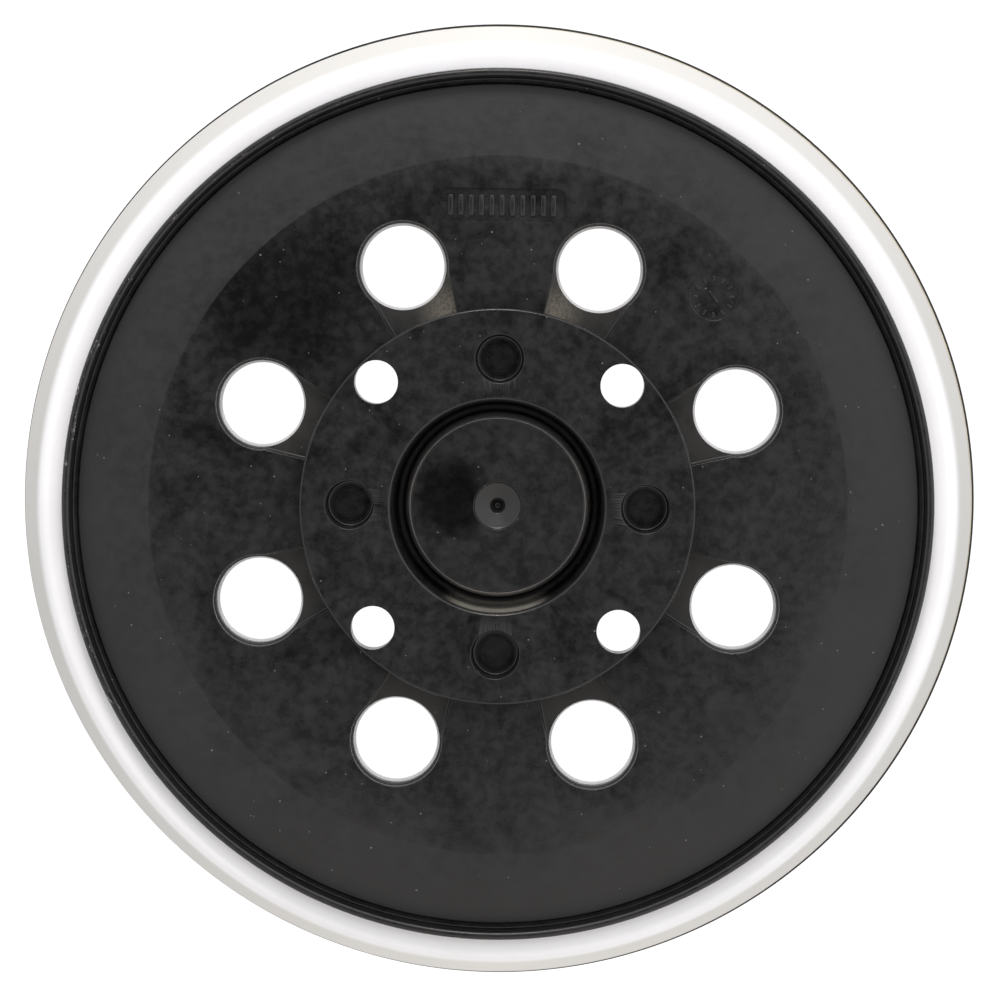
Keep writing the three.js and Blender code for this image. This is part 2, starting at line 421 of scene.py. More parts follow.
def make_scuff_group():
    """Scuffs along the rings: noise drawn out along the circle, kept where it is highest. Amount
    raises or lowers how much is kept."""
    kit, given, out = new_group("ring scuffs", {"Unrolled": VECTOR, "Amount": VALUE}, {"Mask": VALUE})
    stretched = kit.scaled(given["Unrolled"], (9.0, 9.0, 1.6))
    streaks = kit.noise(stretched, 1.6, 4.0, 0.7, 0.4)
    breaks = kit.noise(stretched, 9.0, 3.0, 0.7)
    value = kit.math("MULTIPLY_ADD", breaks, 0.45, kit.times(streaks, 0.55))
    limit = kit.math("SUBTRACT", 0.72, kit.times(given["Amount"], 0.25))
    mask = kit.times(kit.math("SUBTRACT", value, limit), 22.0, clamp=True)
    kit.feed(mask, out, "Mask")


def new_material(name, colour, **constants):
    """A material with a Principled shader whose uniform values are set on its own sockets."""
    material = bpy.data.materials.new(name)
    material.use_nodes = True
    material.diffuse_color = (*colour, 1.0)
    kit = Tree(material.node_tree)
    shader = material.node_tree.nodes["Principled BSDF"]
    for socket, value in constants.items():
        shader.inputs[socket.replace("_", " ")].default_value = value
    place = kit.add("ShaderNodeTexCoord").outputs["Object"]
    rings = kit.group("ring coordinates", {"Place": place})
    return material, kit, shader, place, rings


def rgba(colour, factor=1.0):
    """A colour with its alpha, brightened or darkened by factor."""
    return (*(min(channel * factor, 1.0) for channel in colour), 1.0)


def bump(kit, shader, height, strength, distance):
    """Feeds a height in as surface relief. distance is in millimetres."""
    node = kit.add("ShaderNodeBump", {"Height": height, "Strength": strength, "Distance": distance * MM})
    kit.feed(node.outputs[0], shader, "Normal")


def near_point(kit, place, x, y, inner, outer):
    """1 within inner millimetres of a point seen from above, fading to 0 at outer."""
    flat = kit.scaled(place, (1 / MM, 1 / MM, 0.0))
    gap = kit.add("ShaderNodeVectorMath", {0: flat, 1: (x, y, 0.0)},
                  operation="DISTANCE").outputs["Value"]
    return kit.between(gap, inner, outer, 1.0, 0.0)


def plate_material(settings):
    """Black glass-filled nylon: a fine grain, glossy smudges and flow marks that look darker, a matt slope,
    lighter and rougher pocket floors, pale scuffs on the rim and a few specks of dust; painted light on the
    plateau's side wall, and painted warm highlights on the recess wall's -Y side and on the +Y pocket floors
    beside the hub."""
    colour = settings.colour
    material, kit, shader, place, rings = new_material(
        "moulded black nylon", colour, Specular_IOR_Level=0.5)
    radius, height, angle = rings["Radius"], rings["Height"], rings["Angle"]

    clouds = kit.noise(place, 110.0, 4.0, 0.62, 0.9)
    mottle = kit.noise(place, 700.0, 4.0, 0.65)
    spots = kit.noise(place, 120.0, 3.0, 0.55, 1.2)
    flow_place = kit.scaled(rings["Unrolled"], (3.4, 3.4, 0.05), (0.5, 0.7, 0.3))
    flow = kit.noise(flow_place, 1.5, 3.0, 0.55, 0.6)
    flat_zone = kit.band(radius, 14.0, FLAT, 0.6)
    handled = kit.times(near_point(kit, place, -6.0, 1.0, 2.0, 6.5), kit.band(radius, 3.0, 10.8, 0.3))
    handled = kit.most(handled, kit.times(near_point(kit, place, -28.0, 27.0, 4.0, 15.0), 0.6))
    smudges = kit.most(kit.between(flow, 0.50, 0.74), kit.between(spots, 0.50, 0.78))
    handled = kit.times(handled, kit.band(radius, 0.0, FLAT, 0.2))
    smudges = kit.most(kit.times(smudges, flat_zone), handled)

    slope_zone = kit.band(radius, FLAT + 0.05, SLOPE, 0.25)
    shade = kit.plus(kit.between(clouds, 0.3, 0.7, 0.8, 1.2),
                     kit.between(mottle, 0.35, 0.65, -0.14, 0.14))
    shade = kit.times(shade, kit.math("MULTIPLY_ADD", smudges, -0.3, 1.0))
    shade = kit.times(shade, kit.math("MULTIPLY_ADD", handled, -0.4, 1.0))
    grey = kit.add("ShaderNodeCombineColor", {0: shade, 1: shade, 2: shade}).outputs[0]
    base = kit.mix(1.0, rgba(colour), grey, "MULTIPLY")

    # Painted light: the plateau's side wall gets a light grey (0.34) so that it reads lit although it stands
    # in the recess's shade.
    wall = kit.times(kit.band(radius, PLATEAU + 0.03, PLATEAU_FOOT + 0.1, 0.08),
                    kit.between(height, RECESS_FLOOR + 0.2, RECESS_FLOOR + 1.4))
    base = kit.mix(wall, base, rgba((0.34, 0.33, 0.325)))
    # Painted highlight: a warm pale streak (0.31, 0.295, 0.26) on the recess's outer wall and its foot on
    # the -Y side, where that wall faces the warm low light at +Y.
    foot = kit.times(kit.band(radius, RECESS - 0.9, RECESS + 0.5, 0.3),
                    kit.band(height, RECESS_FLOOR - 0.2, HUB_TOP - 1.0, 1.6))
    near_side = kit.between(kit.math("SINE", angle), -0.85, -0.96)
    foot = kit.times(foot, near_side)
    base = kit.mix(kit.times(foot, 0.8), base, rgba((0.31, 0.295, 0.26)))

    pocket = kit.times(kit.band(radius, HUB - 0.3, DUST_CIRCLE + 6.5, 0.2),
                      kit.band(height, POCKET_FLOOR - 0.4, POCKET_FLOOR + 0.5, 0.3))
    # Painted highlight: a warm, speckled light patch (0.21, 0.19, 0.155) on the pocket floors beside the hub
    # on the +Y side, which faces the warm low light.
    upward = kit.math("SINE", angle)
    painted_pocket_highlight = kit.times(kit.between(upward, 0.90, 0.985),
                         kit.between(radius, HUB, HUB + 4.5, 1.0, 0.15))
    highlight_speckle = kit.noise(place, 2600.0, 3.0, 0.7)
    painted_pocket_highlight = kit.times(painted_pocket_highlight, kit.between(highlight_speckle, 0.3, 0.62, 0.35, 1.0))
    base = kit.mix(kit.times(pocket, 0.5), base, rgba((0.020, 0.019, 0.017)))
    base = kit.mix(kit.times(pocket, painted_pocket_highlight), base, rgba((0.21, 0.19, 0.155)))

    lip = kit.times(kit.band(radius, LIP_INSIDE - 0.1, PLATE_EDGE + 0.2, 0.1),
                   kit.between(height, RIM_TOP - 0.45, RIM_TOP - 0.1))
    worn_side = kit.math("COSINE", kit.math("SUBTRACT", angle, math.radians(165)))
    amount = kit.times(kit.between(worn_side, -0.2, 1.0, 0.0, 0.5), settings.scuffs)
    streaks = kit.group("ring scuffs", {"Unrolled": rings["Unrolled"], "Amount": amount})["Mask"]
    scuff = kit.times(streaks, lip)
    base = kit.mix(scuff, base, (0.62, 0.60, 0.57, 1.0))

    crowd = kit.math("MULTIPLY_ADD", near_point(kit, place, -2.6, 4.0, 0.6, 3.4), 0.14, 0.010)
    specks = kit.group("dust specks", {"Place": place, "Spacing": 2400.0, "Size": 0.26,
                                       "Share": crowd})["Mask"]
    base = kit.mix(kit.times(specks, 0.4), base, (0.30, 0.29, 0.27, 1.0))
    kit.feed(base, shader, "Base Color")

    dull = kit.plus(kit.between(clouds, 0.3, 0.7, 0.30, 0.36),
                    kit.between(mottle, 0.35, 0.65, -0.05, 0.05))
    dull = kit.plus(dull, kit.times(smudges, -0.09))
    dull = kit.plus(dull, kit.times(handled, -0.12))
    dull = kit.plus(dull, kit.times(slope_zone, 0.13))
    dull = kit.plus(dull, kit.times(pocket, 0.16))
    dull = kit.plus(dull, kit.times(scuff, 0.3), clamp=True)
    kit.feed(dull, shader, "Roughness")

    grain = kit.group("moulded grain", {"Place": place, "Grain": 3600.0, "Detail": 3.0})["Height"]
    relief = kit.math("MULTIPLY_ADD", scuff, 0.6, grain)
    bump(kit, shader, relief, 0.35, 0.05)
    return material


def foam_material(settings):
    """White polyurethane foam with a moulded matt skin: faint clouding, fine pores and a light
    soiling at the foot, with painted shade on the flank."""
    colour = settings.colour
    material, kit, shader, place, rings = new_material(
        "moulded white foam", colour, Specular_IOR_Level=0.25)
    clouds = kit.noise(place, 70.0, 3.0, 0.55, 0.3)
    pores = kit.add("ShaderNodeTexVoronoi", {"Vector": place, "Scale": 2600.0}).outputs["Distance"]
    pits = kit.between(pores, 0.0, 0.34, 1.0, 0.0)
    tint = kit.mix(kit.between(clouds, 0.35, 0.65), rgba(colour, 0.975), rgba(colour, 1.015))
    # Painted shade: the flank is coloured darker than the foam's own white (0.70 towards ±Y, 0.54 towards
    # ±X) to stand in for how light falls on it.
    flank = kit.times(kit.between(rings["Radius"], FOAM_BAND - 0.6, FOAM_BAND + 2.6),
                     kit.between(rings["Height"], FOAM_TOP + 0.3, FOAM_TOP - 4.5))
    across = kit.math("ABSOLUTE", kit.math("COSINE", rings["Angle"]))
    shaded = kit.mix(across, rgba((0.70, 0.69, 0.67)), rgba((0.54, 0.532, 0.52)))
    tint = kit.mix(flank, tint, shaded)
    tint = kit.mix(kit.times(pits, 0.10), tint, rgba(colour, 0.7))
    soil = kit.times(kit.between(rings["Height"], FOAM_BOTTOM + 0.2, FOAM_BOTTOM + 1.8, 1.0, 0.0),
                    kit.between(kit.noise(place, 260.0, 3.0, 0.6), 0.4, 0.7))
    tint = kit.mix(kit.times(soil, 0.25), tint, (0.42, 0.42, 0.43, 1.0))
    kit.feed(tint, shader, "Base Color")
    kit.feed(kit.between(clouds, 0.3, 0.7, 0.74, 0.88), shader, "Roughness")
    grain = kit.group("moulded grain", {"Place": place, "Grain": 1500.0, "Detail": 4.0})["Height"]
    bump(kit, shader, kit.math("SUBTRACT", grain, kit.times(pits, 0.4)), 0.3, 0.08)
    return material


def film_material(settings):
    """A thin yellowish film of set adhesive, with thick and thin places."""
    colour = settings.colour
    material, kit, shader, place, _ = new_material("set adhesive", colour, Specular_IOR_Level=0.5)
    thick = kit.noise(place, 300.0, 3.0, 0.6, 0.6)
    kit.feed(kit.mix(kit.between(thick, 0.35, 0.65), rgba(colour, 0.72), rgba(colour)), shader, "Base Color")
    kit.feed(kit.between(thick, 0.3, 0.7, 0.38, 0.6), shader, "Roughness")
    bump(kit, shader, thick, 0.4, 0.1)
    return material


def hook_material(settings):
    """Black nylon hook tape: a faint woven rib and dust caught between the hooks."""
    colour = settings.colour
    material, kit, shader, place, _ = new_material("black hook nylon", colour, Specular_IOR_Level=0.45)
    parts = kit.add("ShaderNodeSeparateXYZ", {0: place}).outputs
    rib = kit.math("SINE", kit.times(parts[0], 2 * math.pi / (0.35 * MM)))
    lint = kit.noise(place, 480.0, 4.0, 0.65)
    base = kit.mix(kit.between(lint, 0.45, 0.75, 0.0, 0.5), rgba(colour), rgba(colour, 3.2))
    kit.feed(base, shader, "Base Color")
    kit.feed(kit.between(lint, 0.3, 0.7, 0.42, 0.62), shader, "Roughness")
    bump(kit, shader, kit.math("MULTIPLY_ADD", rib, 0.3, lint), 0.3, 0.06)
    return material


# ---------------------------------------------------------------------------
# The carrier plate
# ---------------------------------------------------------------------------


def flange_outline(edge):
    """The plate's cross-section without its hub: a flat middle, a gentle slope, the rim's groove
    and its lip."""
    return fillet([
        (0, UNDERSIDE, 0),
        (FLAT, UNDERSIDE, 0),
        (SLOPE, RIM_UNDERSIDE, 0),
        (PLATE_EDGE, RIM_UNDERSIDE, edge),
        (PLATE_EDGE, RIM_TOP, edge * 1.7),
        (LIP_INSIDE, RIM_TOP, edge * 1.7),
        (LIP_INSIDE - 0.06, GROOVE_FLOOR, edge),
        (SLOPE + 0.06, GROOVE_FLOOR, edge),
        (SLOPE, SLOPE_END, edge * 0.8),
        (FLAT, LAND, 0),
        (0, LAND, 0),
    ])


def hub_outline(edge):
    """The raised hub that the machine's flange seats on, and the cup under it."""
    return fillet([
        (0, CUP_UNDERSIDE, 0),
        (CUP, CUP_UNDERSIDE, edge),
        (CUP, UNDERSIDE + 0.5, 0),
        (HUB + 0.04, UNDERSIDE + 0.5, 0),
        (HUB, HUB_TOP, edge * 1.2),
        (0, HUB_TOP, 0),
    ])


def recess_outline():
    """The cutter for the central recess: a ring-shaped groove round a plateau with a softly rounded
    edge, and the plateau's shallow dish with a small gate hole."""
    return fillet([
        (0, PLATEAU_TOP - 1.9, 0),
        (0.35, PLATEAU_TOP - 1.9, 0.2),
        (0.8, PLATEAU_TOP - 0.95, 0.3),
        (1.0, PLATEAU_TOP - 0.72, 0.15),
        (DIMPLE - 0.1, PLATEAU_TOP - 0.22, 0.5),
        (DIMPLE + 0.05, PLATEAU_TOP + LIFT / 3, 0.12),
        (DIMPLE + 0.5, PLATEAU_TOP, 0),
        (PLATEAU + 0.1, PLATEAU_TOP, 0.35),
        (PLATEAU_FOOT, RECESS_FLOOR, 0.4),
        (RECESS - 0.45, RECESS_FLOOR, 0.5),
        (RECESS + 0.05, HUB_TOP, 0.45),
        (RECESS + 0.95, HUB_TOP + LIFT, 0),
        (RECESS + 0.95, HUB_TOP + PAST, 0),
        (0, HUB_TOP + PAST, 0),
    ])


def peg_outline(edge):
    """The cutter for a peg's pocket, which leaves a faint raised ring on the pocket's floor."""
    floor = HUB_TOP - PEG_POCKET_DEPTH
    return fillet([
        (0, floor, 0),
        (1.95, floor, 0),
        (2.02, floor + 0.09, 0),
        (2.2, floor + 0.09, 0),
        (2.27, floor, 0),
        (PEG_POCKET - 0.05, floor, 0.3),
        (PEG_POCKET, HUB_TOP, edge * 1.1),
        (PEG_POCKET + edge * 1.5, HUB_TOP + LIFT, 0),
        (PEG_POCKET + edge * 1.5, HUB_TOP + PAST, 0),
        (0, HUB_TOP + PAST, 0),
    ])


def pocket_cutter(centre, edge):
    """The cutter for one dust pocket. Seen from the hole's middle, its outline lies at the distance
    of the ledge round the hole or, towards the hub, of the wedge's two straight sides, which touch
    the hole and meet at the axis: distance = side offset / cos(direction - the side's normal).
    Rings of that outline, each moved outwards by its own offset, make the floor's rounded foot,
    the wall and the rounded mouth."""
    ledge, inner_end, columns = 0.3, 12.0, 192
    section = fillet([
        (-1.5, POCKET_FLOOR, 0),
        (0, POCKET_FLOOR, 0.3),
        (0, LAND, edge * 0.9),
        (edge, LAND + LIFT, 0),
        (edge, LAND + PAST, 0),
    ])
    offset, height = section[:, :1], section[:, 1:]
    turn = np.arange(columns) * (2 * math.pi / columns)
    away = np.abs(np.angle(np.exp(1j * turn)))
    normal = math.acos(DUST_HOLE / DUST_CIRCLE)
    side = (DUST_HOLE + offset) / np.maximum(np.cos(away - normal), 0.05)
    reach = np.maximum(DUST_HOLE + ledge + offset, np.where(away < normal, side, 0))
    reach = np.minimum(reach, inner_end + offset)
    inward = math.atan2(-centre[1], -centre[0])
    rings = np.stack([
        centre[0] + reach * np.cos(turn + inward),
        centre[1] + reach * np.sin(turn + inward),
        np.broadcast_to(height, reach.shape),
    ], axis=-1)
    points, faces = closed_rings(rings)
    points[-2] = (*centre, POCKET_FLOOR)
    points[-1] = (*centre, LAND + PAST)
    return points, faces


def rounded_box(width, depth, corner, edge, low, high, centre, angle=0.0):
    """A cutter or a raised bar with a rounded rectangle's outline: four quarter circles, moved out
    to the corners, on rings from low to high that swell by edge at the top for a cutter (edge above
    0) or draw in for a bar (edge below 0)."""
    steps = 6
    turn = (np.arange(4 * steps) + 0.5) * (2 * math.pi / (4 * steps))
    quarter = np.arange(4 * steps) // steps
    sx, sy = np.array([1, -1, -1, 1])[quarter], np.array([1, 1, -1, -1])[quarter]
    levels = np.array([[-0.12 * (edge > 0), low], [0, low + 0.12], [0, high - abs(edge)],
                       [edge * 0.3, high - abs(edge) * 0.3], [edge, high]])
    grow = levels[:, :1]
    x = sx * (width / 2 - corner) + (corner + grow) * np.cos(turn)
    y = sy * (depth / 2 - corner) + (corner + grow) * np.sin(turn)
    rings = np.stack([
        centre[0] + x * math.cos(angle) - y * math.sin(angle),
        centre[1] + x * math.sin(angle) + y * math.cos(angle),
        np.broadcast_to(levels[:, 1:], x.shape),
    ], axis=-1)
    return closed_rings(rings)


LABEL_CENTRE = (0.0, 37.95)
LABEL_DEPTH = 0.28
LABEL_BARS = 11
DIAL_CENTRE = (26.84, 26.84)
DIAL_TICKS = 12
DIAL_POINTER = math.radians(128)


def label_bars(settings):
    """Eleven plain raised bars in the label's recess, all alike and evenly spaced."""
    middles = LABEL_CENTRE[0] + np.linspace(-0.5, 0.5, LABEL_BARS) * (settings.label_width / MM - 3.0)
    floor = LAND - LABEL_DEPTH
    return joined([
        rounded_box(0.62, settings.label_height / MM - 1.7, 0.18, -0.08, floor - 0.1, LAND - 0.04,
                    (middle, LABEL_CENTRE[1]))
        for middle in middles
    ])


def dial_marks(settings):
    """The dial's raised marks: twelve ticks round an inner ring, and a pointer across its middle."""
    radius, floor = settings.dial_radius / MM, LAND - LABEL_DEPTH
    marks = []
    for k in range(DIAL_TICKS):
        angle = k * 2 * math.pi / DIAL_TICKS
        place = (DIAL_CENTRE[0] + math.cos(angle) * (radius - 0.75),
                 DIAL_CENTRE[1] + math.sin(angle) * (radius - 0.75))
        marks.append(rounded_box(0.7, 0.34, 0.12, -0.05, floor - 0.1, LAND - 0.06, place, angle))
    marks.append(rounded_box(1.9, 0.34, 0.14, -0.06, floor - 0.1, LAND - 0.06, DIAL_CENTRE,
                             DIAL_POINTER))
    return joined(marks)


def make_carrier_plate(settings, material):
    """Flange with its dust pockets, hub and cup, then every hole and pocket."""
    edge = settings.edge_round / MM
    plate = new_object("pad_carrier_plate", lathe(flange_outline(edge), FINE))
    combine(plate, "DIFFERENCE", joined([pocket_cutter(centre, edge) for centre in DUST_CENTRES]))
    combine(plate, "UNION", lathe(hub_outline(edge), FINE))
    combine(plate, "DIFFERENCE", lathe(recess_outline(), FINE))
    core = [(CUP_CORE, CUP_UNDERSIDE - PAST), (CUP_CORE - 0.1, PLATEAU_UNDERSIDE)]
    combine(plate, "DIFFERENCE", lathe(core, FINE))
    combine(plate, "DIFFERENCE", round_cutters(
        DUST_CENTRES, drill(DUST_HOLE, UNDERSIDE, POCKET_FLOOR, mouth=edge * 0.6, foot=edge)))
    combine(plate, "DIFFERENCE", round_cutters(
        SCREW_CENTRES, drill(SCREW_HOLE, CUP_UNDERSIDE, HUB_TOP, mouth=edge * 0.6)))
    seat = HUB_TOP - SCREW_COLLAR_HEIGHT
    counterbore = [(SCREW_COUNTERBORE, CUP_UNDERSIDE - PAST), (SCREW_COUNTERBORE, seat)]
    combine(plate, "DIFFERENCE", round_cutters(SCREW_CENTRES, counterbore))
    combine(plate, "DIFFERENCE", round_cutters(PEG_CENTRES, peg_outline(edge)))
    label = rounded_box(settings.label_width / MM, settings.label_height / MM, 1.1, 0.08,
                        LAND - LABEL_DEPTH, LAND + 0.05, LABEL_CENTRE)
    dial_radius = settings.dial_radius / MM
    dial = lathe(fillet([(0, LAND - LABEL_DEPTH, 0), (dial_radius, LAND - LABEL_DEPTH, 0.1),
                         (dial_radius + 0.05, LAND, 0), (dial_radius + 0.1, LAND + PAST, 0),
                         (0, LAND + PAST, 0)]), COARSE, DIAL_CENTRE)
    combine(plate, "DIFFERENCE", joined([label, dial]))
    finish_piece(plate, material, "carrier_plate")
    marks = new_object("pad_label_marks", joined([label_bars(settings), dial_marks(settings)]))
    finish_piece(marks, material)


# ---------------------------------------------------------------------------
# The foam, the adhesive film and the hook disc
# ---------------------------------------------------------------------------


def foam_outline(settings):
    """The foam's cross-section: a flared flank with a rounded foot and shoulder, the narrow band
    round the plate's rim, and the underside of the plate with its cup."""
    shoulder = settings.shoulder / MM
    flank_top = FOAM_BAND + FOAM_SHOULDER
    return fillet([
        (0, FOAM_BOTTOM + FIT, 0),
        (FOAM_BASE - 0.05, FOAM_BOTTOM + FIT, 0.3),
        (flank_top, FOAM_TOP, shoulder),
        (PLATE_EDGE + FIT, FOAM_TOP, 0.12),
        (PLATE_EDGE + FIT, RIM_UNDERSIDE - FIT, 0),
        (SLOPE, RIM_UNDERSIDE - FIT, 0),
        (FLAT, UNDERSIDE - FIT, 0),
        (CUP + FIT, UNDERSIDE - FIT, 0),
        (CUP + FIT, CUP_UNDERSIDE - FIT, 0),
        (CUP_CORE - FIT, CUP_UNDERSIDE - FIT, 0),
        (CUP_CORE - FIT, PLATEAU_UNDERSIDE - FIT, 0),
        (0, PLATEAU_UNDERSIDE - FIT, 0),
    ], steps=10)


def foam_lean(outline):
    """How far each ring of the foam stands off the axis: all of FOAM_LEAN at the foot, none at the
    band, in step with the height, and only on the outer flank."""
    outer = outline[:, 0] > PLATE_EDGE + 0.2
    share = np.clip((FOAM_TOP - outline[:, 1]) / (FOAM_TOP - FOAM_BOTTOM), 0, 1) * outer
    return share[:, None] * np.array(FOAM_LEAN)


def make_foam(settings, material):
    """The foam with its dust holes, which narrow to a collar under the plate, and screw holes."""
    foam = new_object("pad_foam", lathe(foam_outline(settings), FINE, shift=foam_lean))
    top = UNDERSIDE - FIT
    collar = fillet([
        (FOAM_DUST_HOLE, FOAM_BOTTOM - PAST, 0),
        (FOAM_DUST_HOLE, top - 1.3, 0.3),
        (FOAM_DUST_COLLAR, top - 0.8, 0.2),
        (FOAM_DUST_COLLAR, top + PAST, 0),
    ])
    combine(foam, "DIFFERENCE", round_cutters(DUST_CENTRES, collar))
    combine(foam, "DIFFERENCE", round_cutters(
        SCREW_CENTRES, [(FOAM_SCREW_HOLE, FOAM_BOTTOM - PAST), (FOAM_SCREW_HOLE, FOAM_TOP + PAST)]))
    finish_piece(foam, material, "foam_pad")


def vented_disc(name, radius, low, high, edge):
    """A thin disc with the same holes as the foam."""
    disc = new_object(name, lathe(fillet([
        (0, low, 0), (radius, low, edge), (radius, high, edge), (0, high, 0)], steps=3), FINE))
    for centres, hole in FOAM_HOLES:
        combine(disc, "DIFFERENCE", round_cutters(centres, [(hole, low - PAST), (hole, high + PAST)]))
    return disc


def make_film(material):
    """The adhesive film between the hook disc and the foam."""
    film = vented_disc("pad_adhesive_film", FOAM_BASE - 0.15, HOOK_TOP + FIT / 2, FOAM_BOTTOM, 0.05)
    finish_piece(film, material, "adhesive_film")


def hook_template(height):
    """One hook: a four-sided stem that tapers and curls over. Its centre line goes straight down and
    then round a half circle, and each ring of four corners stands square to that line."""
    curl, straight = height * 0.30, 0.62
    along = np.linspace(0, 1, 7)
    bend = np.clip((along - straight) / (1 - straight), 0, 1) * math.radians(165)
    x = curl * (1 - np.cos(bend))
    z = -np.minimum(along / straight, 1) * (height - curl) - curl * np.sin(bend)
    width = np.interp(along, [0, 0.25, 1], [0.17, 0.11, 0.06])
    corner = np.arange(4) * (math.pi / 2) + math.pi / 4
    out, side = np.cos(corner), np.sin(corner)
    rings = np.stack([
        x[:, None] + width[:, None] * out * np.cos(bend)[:, None],
        np.broadcast_to(width[:, None] * side, (7, 4)),
        z[:, None] + width[:, None] * out * np.sin(bend)[:, None],
    ], axis=-1)
    faces = [face[::-1] for face in grid_faces(7, 4).tolist()]
    return rings.reshape(-1, 3), [*faces, [24, 25, 26, 27]]


def hook_places(settings):
    """Where the hooks stand and which way each curls: rows along X with every second row moved by
    half a pitch, kept clear of the holes, and one closer ring along the disc's edge."""
    pitch = settings.pitch / MM
    row_pitch = pitch * 0.866
    rows = np.arange(-math.ceil(HOOK_EDGE / row_pitch), math.ceil(HOOK_EDGE / row_pitch) + 1)
    columns = np.arange(-math.ceil(HOOK_EDGE / pitch), math.ceil(HOOK_EDGE / pitch) + 1)
    column, row = np.meshgrid(columns, rows)
    x, y = (column + 0.5 * (row % 2)) * pitch, row * row_pitch
    facing = np.where(row % 2 == 0, 0.0, math.pi)
    field = np.stack([x, y, facing], axis=-1).reshape(-1, 3)
    keep = np.hypot(field[:, 0], field[:, 1]) < HOOK_EDGE - 1.0
    for centres, hole in FOAM_HOLES:
        for centre in centres:
            keep &= np.hypot(field[:, 0] - centre[0], field[:, 1] - centre[1]) > hole + 0.4
    count = round(2 * math.pi * HOOK_EDGE / (settings.edge_pitch / MM))
    turn = np.arange(count) * (2 * math.pi / count)
    edge_radius = HOOK_EDGE - 0.17
    edge = np.stack([edge_radius * np.cos(turn), edge_radius * np.sin(turn), turn + math.pi], axis=1)
    return np.vstack([field[keep], edge])


def hook_field(places, height, root):
    """Copies of one hook turned and moved to every place, as one array of points and of faces."""
    template, faces = hook_template(height)
    x, y, turn = places.T
    cos, sin = np.cos(turn)[:, None], np.sin(turn)[:, None]
    points = np.stack([
        x[:, None] + template[:, 0] * cos - template[:, 1] * sin,
        y[:, None] + template[:, 0] * sin + template[:, 1] * cos,
        np.broadcast_to(root + template[:, 2], (len(x), len(template))),
    ], axis=-1).reshape(-1, 3)
    starts = (np.arange(len(x)) * len(template))[:, None, None]
    return points, (starts + np.array(faces)[None]).reshape(-1, 4).tolist()


def make_hook_disc(settings, material):
    """The hook disc's backing, and its hooks in four quarters."""
    height = settings.height / MM
    backing_low = HOOK_LOW[2] + height
    backing = vented_disc("pad_hook_backing", HOOK_EDGE - 0.06, backing_low, HOOK_TOP, 0.08)
    finish_piece(backing, material, "hook_disc")
    places = hook_places(settings)
    quarter = (np.floor(np.arctan2(places[:, 1], places[:, 0]) / (math.pi / 2)) % 4).astype(int)
    for k in range(4):
        field = hook_field(places[quarter == k], height, backing_low + 0.02)
        hooks = new_object(f"pad_hooks_{k + 1}", field)
        hooks.data.materials.append(material)
        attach(hooks, "root")


# ---------------------------------------------------------------------------
# The stage
# ---------------------------------------------------------------------------


def floor_material(settings):
    """A luminous matt table with a faint unevenness."""
    material, kit, shader, place, _ = new_material(
        "light table", settings.floor_colour, Specular_IOR_Level=0.1)
    haze = kit.noise(place, 3.0, 2.0)
    tint = kit.mix(kit.between(haze, 0.3, 0.7), rgba(settings.floor_colour, 0.995),
                   rgba(settings.floor_colour))
    kit.feed(tint, shader, "Emission Color")
    matt = kit.mix(1.0, tint, (0.15, 0.15, 0.15, 1.0), "MULTIPLY")
    kit.feed(matt, shader, "Base Color")
    shader.inputs["Emission Strength"].default_value = settings.floor_glow
    shader.inputs["Roughness"].default_value = 0.9
    return material


def studio_world(settings):
    """A soft room: pale walls that are brightest a little above the horizon, a dark ceiling panel
    almost straight above, a cooler right side (+X) and a warmer, dimmer near side (-Y)."""
    world = bpy.data.worlds.new("studio room")
    world.use_nodes = True
    kit = Tree(world.node_tree)
    direction = kit.add("ShaderNodeTexCoord").outputs["Generated"]
    parts = kit.add("ShaderNodeSeparateXYZ", {0: direction}).outputs
    panel = Vector((-0.05, 0.05, 1.0)).normalized()
    towards = kit.add("ShaderNodeVectorMath", {0: direction, 1: panel},
                      operation="DOT_PRODUCT").outputs["Value"]
    walls = kit.between(towards, 0.893, 0.982, 1.0, settings.ceiling)
    low = kit.between(parts[2], 0.02, 0.5, settings.horizon, 1.0)
    sides = kit.plus(kit.between(parts[0], -0.5, 0.5, 0.90, 1.12),
                     kit.between(parts[1], -0.5, 0.3, -0.2, 0.02))
    level = kit.times(kit.times(walls, low), sides)
    tint = kit.mix(kit.between(parts[1], -0.5, 0.25), (1.0, 0.965, 0.915, 1.0), (0.975, 0.98, 1.0, 1.0))
    background = world.node_tree.nodes["Background"]
    kit.feed(tint, background, "Color")
    kit.feed(kit.times(level, settings.room_light), background, "Strength")
    bpy.context.scene.world = world


def area_light(name, azimuth, elevation, distance, size, watts, colour):
    """A square soft light that looks at the pad from azimuth and elevation in degrees, where
    azimuth 0 is +X and 90 is +Y."""
    light = bpy.data.lights.new(name, "AREA")
    light.shape, light.size, light.energy, light.color = "SQUARE", size, watts, colour
    a, e = math.radians(azimuth), math.radians(elevation)
    away = Vector((math.cos(a) * math.cos(e), math.sin(a) * math.cos(e), math.sin(e)))
    lamp = bpy.data.objects.new(name, light)
    lamp.location = away * distance
    lamp.rotation_euler = away.to_track_quat("Z", "Y").to_euler()
    bpy.context.scene.collection.objects.link(lamp)


CAMERA_PLACE = Vector((0.0063, 0.0295, 0.608))
CAMERA_TARGET = Vector((0.00022, 0.00039, 0.008))
CAMERA_ROLL = math.radians(0.87)
CAMERA_LENS = 168.9


